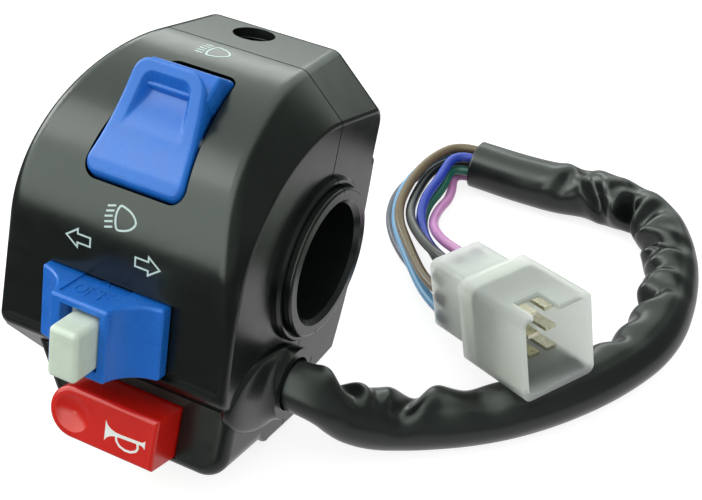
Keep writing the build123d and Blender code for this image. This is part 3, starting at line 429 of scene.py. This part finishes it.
SLEEVE_RADIUS = 4.8
SLEEVE_STEP = 0.45
SLEEVE_WALL = 0.55
SLEEVE_SIDES = 56
SLEEVE_LIP = 0.12
SLEEVE_INSIDE_STEP = 0.9
SLEEVE_ROUTE = [
    (17.5, -14.385, -18.061),
    (31.5, -14.385, -18.061),
    (38.0, -10.6, -26.4),
    (47.0, -3.6, -29.2),
    (58.0, 4.0, -29.2),
    (67.0, 13.6, -29.2),
    (74.6, 25.4, -29.2),
    (79.4, 38.0, -29.2),
    (78.2, 51.6, -29.2),
    (74.0, 63.6, -29.2),
    (66.4, 73.4, -29.2),
    (53.0, 74.8, -29.2),
    (39.4, 71.8, -29.2),
    (25.5, 71.8, -29.2),
]

WIRE_RADIUS = 1.05
WIRE_ROUTES = {
    "wire_brown": [
        (25.50, 73.35, -26.52), (20.50, 73.35, -26.52), (16.60, 67.50, -27.00), (15.60, 57.90, -27.00),
        (17.60, 46.50, -27.20), (25.10, 37.50, -26.80), (34.62, 26.39, -24.21), (41.41, 22.67, -22.19),
    ],
    "wire_light_blue": [
        (25.50, 74.90, -29.20), (20.50, 74.90, -29.20), (15.30, 69.00, -29.50), (13.80, 58.10, -29.70),
        (16.80, 47.10, -29.60), (24.60, 37.50, -29.50), (35.54, 25.70, -28.56), (42.32, 21.97, -26.54),
    ],
    "wire_dark_grey": [
        (25.50, 73.35, -31.88), (20.50, 73.35, -31.88), (14.10, 67.00, -32.00), (12.20, 57.10, -32.00),
        (15.60, 47.00, -32.30), (24.70, 38.00, -32.30), (37.55, 29.27, -28.71), (44.33, 25.54, -26.69),
    ],
    "wire_black": [
        (25.50, 71.80, -29.20), (20.50, 71.80, -29.20), (17.10, 65.30, -29.30), (17.90, 55.20, -28.90),
        (20.80, 46.10, -26.90), (28.00, 37.80, -24.20), (35.72, 30.66, -20.01), (42.50, 26.93, -17.99),
    ],
    "wire_dark_blue": [
        (25.50, 70.25, -26.52), (20.50, 70.25, -26.52), (21.30, 60.40, -26.70), (21.00, 53.60, -27.00),
        (23.40, 46.20, -27.50), (29.30, 39.20, -26.90), (38.64, 33.54, -24.51), (45.42, 29.81, -22.49),
    ],
    "wire_green": [
        (25.50, 68.70, -29.20), (20.50, 68.70, -29.20), (22.30, 60.50, -29.10), (21.50, 53.90, -29.50),
        (23.50, 47.00, -29.80), (30.10, 40.40, -30.30), (39.55, 32.84, -28.86), (46.34, 29.12, -26.84),
    ],
    "wire_pink": [
        (25.50, 70.25, -31.88), (20.50, 70.25, -31.88), (24.30, 60.90, -30.90), (24.00, 54.40, -30.10),
        (25.80, 47.50, -28.20), (30.90, 40.40, -24.40), (37.72, 34.23, -20.16), (44.51, 30.51, -18.14),
    ],
}


def lay_wires():
    for name, route in WIRE_ROUTES.items():
        wire = route_curve("cover_" + name[5:], route, WIRE_RADIUS * MM)
        wire.data.materials.append(MATERIALS[name + "_cover"])
        length = length_of(wire)[1]
        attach(wire, "housing")
        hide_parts(name)


lay_wires()


def even_points(points, step):
    """The same line with its points one step apart."""
    spans = [(b - a).length for a, b in zip(points, points[1:])]
    total = sum(spans)
    count = max(2, round(total / step))
    marks = []
    index, walked = 0, 0.0
    for k in range(count + 1):
        target = total * k / count
        while index < len(spans) - 1 and walked + spans[index] < target:
            walked += spans[index]
            index += 1
        share = (target - walked) / spans[index] if spans[index] else 0.0
        marks.append(points[index].lerp(points[index + 1], min(1.0, share)))
    return marks, total


def line_frames(points):
    """A side and an upward direction at each point, turned as little as possible along the line."""
    ahead = [(points[min(i + 1, len(points) - 1)] - points[max(i - 1, 0)]).normalized() for i in range(len(points))]
    up = Vector((0, 0, 1))
    rows = []
    for direction in ahead:
        side = direction.cross(up).normalized()
        up = side.cross(direction).normalized()
        rows.append((direction, side, up))
    return rows


# Each fold: place along the sleeve in mm, turn around it in degrees (0 is up, -90 is the inner side of the bend),
# depth in mm, width along the sleeve in mm, spread around it in degrees, slant in mm.
FOLDS = [
    (17.5, -48, -2.3, 2.0, 46, 1.5),
    (33.5, -40, -1.9, 2.4, 58, -3.5),
    (47.0, -30, -0.7, 3.0, 60, 2.0),
    (60.0, -30, -0.3, 4.0, 50, -2.0),
    (80.0, -80, -1.3, 2.4, 50, 2.0),
    (96.5, -85, -2.5, 2.2, 52, 3.0),
    (101.5, -45, -0.8, 1.6, 45, -2.0),
    (106.5, -80, -1.3, 1.5, 50, -1.0),
    (111.5, -60, -0.9, 1.6, 55, 2.0),
    (116.0, -75, -2.0, 1.6, 58, -3.5),
    (123.0, -60, -1.2, 1.8, 58, 2.0),
    (129.5, -70, -3.1, 2.0, 56, 2.0),
    (134.5, -30, -0.9, 1.6, 50, -3.0),
    (140.0, -52, -1.9, 1.8, 66, 4.5),
    (145.5, -30, -0.8, 1.8, 58, -3.0),
]

# Where the inner side swells between the folds: place and width along the sleeve and height, in mm.
SWELLS = [(27.5, 4.0, 0.8), (40.0, 4.5, 0.5), (102.0, 3.0, 0.6), (111.0, 3.5, 0.5), (119.5, 3.5, 0.9)]
SWELLS += [(136.0, 4.0, 1.5), (147.0, 6.5, 1.1), (157.0, 7.0, 0.5)]


def sleeve_radius(s, angle):
    """How far the soft sleeve's skin lies from its line: round in the exit, a little flattened after it."""
    inner = max(0.0, -math.sin(angle))
    outer = max(0.0, math.sin(angle))
    above = max(0.0, math.cos(angle))
    radius = SLEEVE_RADIUS + smooth((s - 15.0) / 8.0) * (0.5 * outer + 0.65 * inner + 0.4 * above)
    radius += 0.05 * math.sin(s * 0.23 + 1.4 * math.sin(angle)) * above
    for where, width, height in SWELLS:
        radius += height * math.exp(-(((s - where) / width) ** 2)) * inner
    for where, turned, depth, width, spread, slant in FOLDS:
        off = (angle - math.radians(turned) + math.pi) % (2 * math.pi) - math.pi
        around = math.exp(-((off / math.radians(spread)) ** 2))
        along = (s - where - slant * math.sin(off)) / width
        rim = 0.35 * math.exp(-((abs(along) - 1.9) ** 2)) * smooth(1.0 + math.cos(angle))
        radius += depth * around * (math.exp(-along * along) - rim)
    return radius


def sleeve_mesh():
    line = route_curve("sleeve_line", SLEEVE_ROUTE)
    points, _ = length_of(line)
    bpy.data.objects.remove(line)
    points, total = even_points(points, SLEEVE_STEP * MM)
    rows = line_frames(points)
    verts, faces = [], []

    def ring(point, side, up, s, less):
        start = len(verts)
        for k in range(SLEEVE_SIDES):
            angle = 2 * math.pi * k / SLEEVE_SIDES
            radius = (sleeve_radius(s, angle) - less) * MM
            verts.append(point + side * (math.sin(angle) * radius) + up * (math.cos(angle) * radius))
        return start

    starts = []
    for i, (point, (_, side, up)) in enumerate(zip(points, rows)):
        starts.append(ring(point, side, up, total * i / (len(points) - 1) / MM, 0.0))
    ahead, side, up = rows[-1]
    lip = points[-1] + ahead * SLEEVE_LIP * MM
    end = total / MM
    starts.append(ring(lip, side, up, end, SLEEVE_LIP))
    starts.append(ring(lip, side, up, end, SLEEVE_WALL - SLEEVE_LIP))
    for k in range(12):
        at = len(points) - 1 - k * 2
        starts.append(ring(points[at], rows[at][1], rows[at][2], end - k * SLEEVE_INSIDE_STEP, SLEEVE_WALL))
    for a, b in zip(starts, starts[1:]):
        for k in range(SLEEVE_SIDES):
            n = (k + 1) % SLEEVE_SIDES
            faces.append((a + k, a + n, b + n, b + k))
    faces.append(tuple(starts[0] + k for k in reversed(range(SLEEVE_SIDES))))
    faces.append(tuple(starts[-1] + k for k in range(SLEEVE_SIDES)))
    mesh = bpy.data.meshes.new("sleeve_skin")
    mesh.from_pydata(verts, [], faces)
    mesh.validate()
    mesh.shade_smooth()
    mesh.materials.append(MATERIALS["sleeve_vinyl"])
    sleeve = bpy.data.objects.new("sleeve_skin", mesh)
    scene.collection.objects.link(sleeve)
    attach(sleeve, "housing")
    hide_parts("cable_sleeve")


sleeve_mesh()


# ---------------------------------------------------------------- beam rocker

ROCKER_X, ROCKER_Y, ROCKER_Z = 1.4, -20.05, 21.2
FACE_TURN = math.radians(45.0)
ROCKER_FOOT = -2.5

# The cap's dished face in the rocker's own sizes: how far up the face and how high, at its low edge, middle and tip.
CAP_LOW = (-12.6, 2.2)
CAP_MIDDLE = (-2.55, 4.9)
CAP_TIP = (6.3, 10.0)
CROWN_BEND, CROWN_LIFT = 9.2, 5.9


def on_rocker(across, climb, lift):
    """A point given across the rocker, up its face and off its face."""
    y = ROCKER_Y + climb * math.sin(FACE_TURN) - lift * math.cos(FACE_TURN)
    z = ROCKER_Z + climb * math.cos(FACE_TURN) + lift * math.sin(FACE_TURN)
    return place(ROCKER_X + across, y, z)


def arc_height(v):
    """The dished face of the cap: a round arc through its low edge, its middle and its tip."""
    (ax, ay), (bx, by), (cx, cy) = CAP_LOW, CAP_MIDDLE, CAP_TIP
    d = 2 * (ax * (by - cy) + bx * (cy - ay) + cx * (ay - by))
    ox = ((ax**2 + ay**2) * (by - cy) + (bx**2 + by**2) * (cy - ay) + (cx**2 + cy**2) * (ay - by)) / d
    oy = ((ax**2 + ay**2) * (cx - bx) + (bx**2 + by**2) * (ax - cx) + (cx**2 + cy**2) * (bx - ax)) / d
    return oy - math.sqrt((ax - ox) ** 2 + (ay - oy) ** 2 - (v - ox) ** 2)


RECESS_LOW, RECESS_WALL, RECESS_TOP = -4.4, 3.3, 5.1
RECESS_DEPTH = 3.1


def cap_height(u, v):
    """The cap's face with its bent lower edge and the thumb recess."""
    height = arc_height(v)
    height -= 0.5 * smooth((-10.0 - v) / 2.6)
    if v > RECESS_LOW:
        share = (min(v, RECESS_TOP) - RECESS_LOW) / (RECESS_TOP - RECESS_LOW)
        outer = 6.2 - 1.5 * share
        inner = outer - 0.5 - 1.3 * share
        along = max(0.0, (v - RECESS_WALL) / (RECESS_TOP - RECESS_WALL))
        beside = max(0.0, (abs(u) - inner) / (outer - inner))
        depth = RECESS_DEPTH * smooth((v - RECESS_LOW) / (RECESS_TOP - RECESS_LOW + 0.6))
        height -= depth * (1 - smooth(math.hypot(along, beside)))
    return height


def crown_height(u, v):
    """The back of the rocker behind the cap, which falls away towards the end of the opening."""
    if v < CROWN_BEND:
        return CROWN_LIFT + 0.2 * (CROWN_BEND - v)
    return CROWN_LIFT - 1.75 * (v - CROWN_BEND)


def rounded_form(verts, faces, low, high, half_low, half_high, corner_low, corner_high, edge, height, foot):
    """A form over a tapered outline with round corners and a rounded upper edge."""
    rows, columns = 110, 72

    def half(v):
        return half_low + (half_high - half_low) * (v - low) / (high - low)

    def width(v):
        if v < low + corner_low:
            return half(v) - corner_low + math.sqrt(max(0.0, corner_low**2 - (low + corner_low - v) ** 2))
        if v > high - corner_high:
            return half(v) - corner_high + math.sqrt(max(0.0, corner_high**2 - (v - high + corner_high) ** 2))
        return half(v)

    def inside(u, v):
        """How far a place lies inside the outline."""
        corner = corner_low if v < (low + high) / 2 else corner_high
        x = abs(u) - (half(v) - corner)
        y = max(low + corner - v, v - (high - corner))
        if x > 0 and y > 0:
            return corner - math.hypot(x, y)
        return corner - max(x, y)

    def share(k, count):
        t = k / count
        return 0.5 - 0.5 * math.cos(math.pi * t)

    base = len(verts)
    for j in range(rows + 1):
        v = low + (high - low) * share(j, rows)
        wide = width(v)
        for i in range(columns + 1):
            u = wide * (2 * share(i, columns) - 1)
            depth = max(0.0, min(edge, inside(u, v)))
            drop = edge - math.sqrt(max(0.0, edge**2 - (edge - depth) ** 2))
            verts.append(on_rocker(u, v, height(u, v) - drop))
    step = columns + 1
    for j in range(rows):
        for i in range(columns):
            k = base + j * step + i
            faces.append((k, k + 1, k + 1 + step, k + step))
    rim = [base + i for i in range(columns + 1)]
    rim += [base + j * step + columns for j in range(1, rows + 1)]
    rim += [base + rows * step + i for i in range(columns - 1, -1, -1)]
    rim += [base + j * step for j in range(rows - 1, 0, -1)]
    under = len(verts)
    normal = (on_rocker(0, 0, 1) - on_rocker(0, 0, 0)).normalized()
    origin = on_rocker(0, 0, foot)
    for k in rim:
        point = verts[k]
        verts.append(point - normal * normal.dot(point - origin))
    count = len(rim)
    for k in range(count):
        n = (k + 1) % count
        faces.append((rim[k], under + k, under + n, rim[n]))
    faces.append(tuple(under + k for k in reversed(range(count))))


def rocker_mesh():
    verts, faces = [], []
    rounded_form(verts, faces, -12.6, 6.8, 9.9, 6.8, 2.6, 2.7, 0.9, cap_height, ROCKER_FOOT)
    rounded_form(verts, faces, 3.4, 12.2, 7.55, 6.6, 0.8, 0.8, 0.7, crown_height, ROCKER_FOOT)
    mesh = bpy.data.meshes.new("rocker_skin")
    mesh.from_pydata(verts, [], faces)
    mesh.validate()
    mesh.shade_smooth()
    mesh.materials.append(MATERIALS["blue_knob"])
    rocker = bpy.data.objects.new("rocker_skin", mesh)
    scene.collection.objects.link(rocker)
    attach(rocker, "rocker")
    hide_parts("beam_rocker")


rocker_mesh()


# ---------------------------------------------------------------- prints on the front


def surface_of(name):
    """A tree of a node's faces to lay prints on."""
    mesh = nodes[name].data
    return BVHTree.FromPolygons([v.co.copy() for v in mesh.vertices], [tuple(p.vertices) for p in mesh.polygons])


FRONT = surface_of("front_housing")
HORN = surface_of("horn_button")


def dense(points, step, closed):
    """The same outline with points no more than a step apart."""
    made = []
    pairs = list(zip(points, points[1:] + points[:1])) if closed else list(zip(points, points[1:]))
    for (ax, ay), (bx, by) in pairs:
        count = max(1, math.ceil(math.hypot(bx - ax, by - ay) / step))
        made += [(ax + (bx - ax) * k / count, ay + (by - ay) * k / count) for k in range(count)]
    if not closed:
        made.append(points[-1])
    return made


def stroke_strip(points, width, closed):
    """The left and right edges of a stroke drawn along an outline."""
    pairs = []
    count = len(points)
    for i, (x, y) in enumerate(points):
        before = points[i - 1] if closed or i else points[i]
        after = points[(i + 1) % count] if closed or i < count - 1 else points[i]
        ix, iy = x - before[0], y - before[1]
        ox, oy = after[0] - x, after[1] - y
        li = math.hypot(ix, iy) or 1.0
        lo = math.hypot(ox, oy) or 1.0
        if math.hypot(ix, iy) == 0:
            ix, iy, li = ox, oy, lo
        if math.hypot(ox, oy) == 0:
            ox, oy, lo = ix, iy, li
        nx, ny = -(iy / li + oy / lo), ix / li + ox / lo
        size = math.hypot(nx, ny) or 1.0
        nx, ny = nx / size, ny / size
        miter = max(0.45, abs(nx * (-iy / li) + ny * (ix / li)))
        half = width / 2 / miter
        pairs.append(((x + nx * half, y + ny * half), (x - nx * half, y - ny * half)))
    return pairs


def print_on(name, surface, centre, across, strokes, fills, material, body, thick=0.04, angle=0.0):
    """Lays strokes and filled strips, in millimetres across and up, on the surface under a point."""
    hit, normal, _, _ = surface.find_nearest(centre)
    across = (across - normal * across.dot(normal)).normalized()
    up = normal.cross(across).normalized()
    across, up = across * math.cos(angle) + up * math.sin(angle), up * math.cos(angle) - across * math.sin(angle)
    verts, faces = [], []

    def lay(x, y, height):
        start = hit + across * (x * MM) + up * (y * MM) + normal * 0.006
        found, _, _, _ = surface.ray_cast(start, -normal, 0.02)
        point = found if found is not None else hit + across * (x * MM) + up * (y * MM)
        verts.append(point + normal * (height * MM))
        return len(verts) - 1

    def strip(pairs, closed):
        rows = []
        for (lx, ly), (rx, ry) in pairs:
            rows.append((lay(lx, ly, -0.03), lay(lx, ly, thick), lay(rx, ry, thick), lay(rx, ry, -0.03)))
        steps = list(zip(rows, rows[1:] + rows[:1])) if closed else list(zip(rows, rows[1:]))
        for a, b in steps:
            for k in range(3):
                faces.append((a[k], b[k], b[k + 1], a[k + 1]))
        if not closed:
            faces.append(rows[0])
            faces.append(tuple(reversed(rows[-1])))

    for points, width, closed in strokes:
        strip(stroke_strip(dense(points, 0.35, closed), width, closed), closed)
    for pairs in fills:
        strip(pairs, False)
    mesh = bpy.data.meshes.new(name)
    mesh.from_pydata(verts, [], faces)
    mesh.validate()
    mesh.materials.append(material)
    piece = bpy.data.objects.new(name, mesh)
    scene.collection.objects.link(piece)
    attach(piece, body)
    return piece


INK = plastic("printed_ink", (0.56, 0.68, 0.67), rough=0.5, grain=0.0001, depth=0.000004, mottle=0.1, patch=0.0006)
WHITE_INK = plastic("white_ink", (0.84, 0.84, 0.82), rough=0.5, grain=0.0001, depth=0.000004, mottle=0.05, patch=0.0006)


def spline_at(a, b, c, d, t):
    """The value at a share of the way from b to c, on a smooth line through the four."""
    bend = (2 * a - 5 * b + 4 * c - d) * t * t + (3 * b - a - 3 * c + d) * t**3
    return 0.5 * (2 * b + (c - a) * t + bend)


def closed_line(points, count=10):
    """A smooth closed outline through the points."""
    made = []
    n = len(points)
    for i in range(n):
        p0, p1, p2, p3 = points[i - 1], points[i], points[(i + 1) % n], points[(i + 2) % n]
        for k in range(count):
            t = k / count
            made.append(tuple(spline_at(a, b, c, d, t) for a, b, c, d in zip(p0, p1, p2, p3)))
    return made


def lamp_icon(slant):
    """A headlamp with its five rays; the rays dip away from the lamp by the slant."""
    lens = closed_line(
        [(-0.55, 1.95), (0.45, 2.05), (2.1, 1.35), (3.0, 0.0), (2.1, -1.35), (0.45, -2.05), (-0.55, -1.95), (-1.0, 0.0)]
    )
    strokes = [(lens, 0.36, True)]
    for k in range(5):
        y = 1.9 - 0.95 * k
        x = -1.35 - 0.25 * (1 - abs(k - 2) / 2)
        strokes.append(([(x - 1.55, y - slant), (x, y)], 0.34, False))
    return strokes


def arrow_icon(way):
    """The outline of an arrow that points one way along the bar."""
    outline = [(2.5, 0.0), (0.2, 1.75), (0.2, 0.85), (-2.4, 0.85), (-2.4, -0.85), (0.2, -0.85), (0.2, -1.75)]
    outline = [(x * way, y) for x, y in outline]
    return [(outline, 0.32, True)]


ALONG = Vector((1, 0, 0))
print_on("high_beam_print", FRONT, place(-0.9, -4.4, 32.3), ALONG, lamp_icon(0.0), [], INK, "housing")
print_on("low_beam_print", FRONT, place(0.8, -30.0, 7.0), ALONG, lamp_icon(0.5), [], INK, "housing")
print_on("left_arrow_print", FRONT, place(-7.0, -31.5, 0.44), ALONG, arrow_icon(-1), [], INK, "housing")
print_on("right_arrow_print", FRONT, place(7.0, -31.5, 0.1), ALONG, arrow_icon(1), [], INK, "housing")


def horn_icon():
    """A horn: a filled bell that narrows into a tube, a mouthpiece, and a loop under the tube."""
    spine = [(0.0, 2.1, -1.8), (0.35, 1.45, -1.25), (0.8, 1.0, -0.85), (1.4, 0.66, -0.55), (2.2, 0.42, -0.36)]
    spine += [(3.2, 0.33, -0.30), (7.6, 0.31, -0.29), (8.0, 0.5, -0.5), (8.3, 0.85, -0.85)]
    body = [((x, up), (x, down)) for x, up, down in spine]
    loop = [(2.35, -0.3), (2.5, -1.1), (3.2, -1.9), (4.4, -2.3), (5.6, -2.25), (6.6, -1.75), (6.95, -1.1), (6.8, -0.3)]
    return [(loop, 0.42, False)], [body]


def letter(shape, across):
    """The strokes of an O or an F, shifted across."""
    if shape == "O":
        ring = [(0.95 * math.cos(a), 1.35 * math.sin(a)) for a in [math.pi * k / 12 for k in range(24)]]
        ring = [(x + across, y) for x, y in ring]
        return [(ring, 0.4, True)]
    lines = [[(-0.75, -1.4), (-0.75, 1.4)], [(-0.95, 1.3), (0.85, 1.3)], [(-0.75, 0.05), (0.6, 0.05)]]
    return [([(x + across, y) for x, y in line], 0.4, False) for line in lines]


HORN_TURN = 0.05
strokes, fills = horn_icon()
middle = place(4.1, -30.1, -31.95)
print_on("horn_print", HORN, middle, ALONG, strokes, fills, WHITE_INK, "horn", angle=HORN_TURN)

KNOB = surface_of("turn_knob")
word = letter("O", -2.5) + letter("F", 0.0) + letter("F", 2.45)
print_on("off_letters", KNOB, place(-1.0, -32.4, -6.7), ALONG, word, [], MATERIALS["blue_knob"], "turn_switch", 0.12)
triangle = [([(0.0, 1.2), (-1.15, -1.0), (1.15, -1.0)], 0.3, True)]
print_on("off_mark", KNOB, place(-1.2, -28.4, -6.0), ALONG, triangle, [], MATERIALS["blue_knob"], "turn_switch", 0.12)


# ---------------------------------------------------------------- mirror thread

MIRROR = (-1.3, 10.2)


def mirror_ridge():
    """The ridge of the thread that winds down the mirror hole."""
    foot, crest, pitch = 3.98, 3.36, 1.25
    top, depth = 32.5, 12.5
    half_foot, half_crest, least = 0.42, 0.07, 0.01
    steps = 40
    count = round(depth / pitch * steps)
    verts, faces = [], []
    for k in range(count + 1):
        angle = 2 * math.pi * k / steps
        level = top - pitch * k / steps
        fade = min(1.0, k / steps, (count - k) / steps)
        tip = foot - (foot - crest) * fade
        wide = half_foot * fade + least
        for out, shift in ((foot, wide), (tip, half_crest), (tip, -half_crest), (foot, -wide)):
            x = MIRROR[0] + out * math.cos(angle)
            y = MIRROR[1] + out * math.sin(angle)
            verts.append(place(x, y, level + shift))
    for k in range(count):
        for j in range(3):
            faces.append((4 * k + j, 4 * k + 4 + j, 4 * k + 5 + j, 4 * k + 1 + j))
    mesh = bpy.data.meshes.new("mirror_ridge")
    mesh.from_pydata(verts, [], faces)
    mesh.validate()
    mesh.shade_smooth()
    mesh.materials.append(MATERIALS["black_housing"])
    ridge = bpy.data.objects.new("mirror_ridge", mesh)
    scene.collection.objects.link(ridge)
    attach(ridge, "housing")


mirror_ridge()
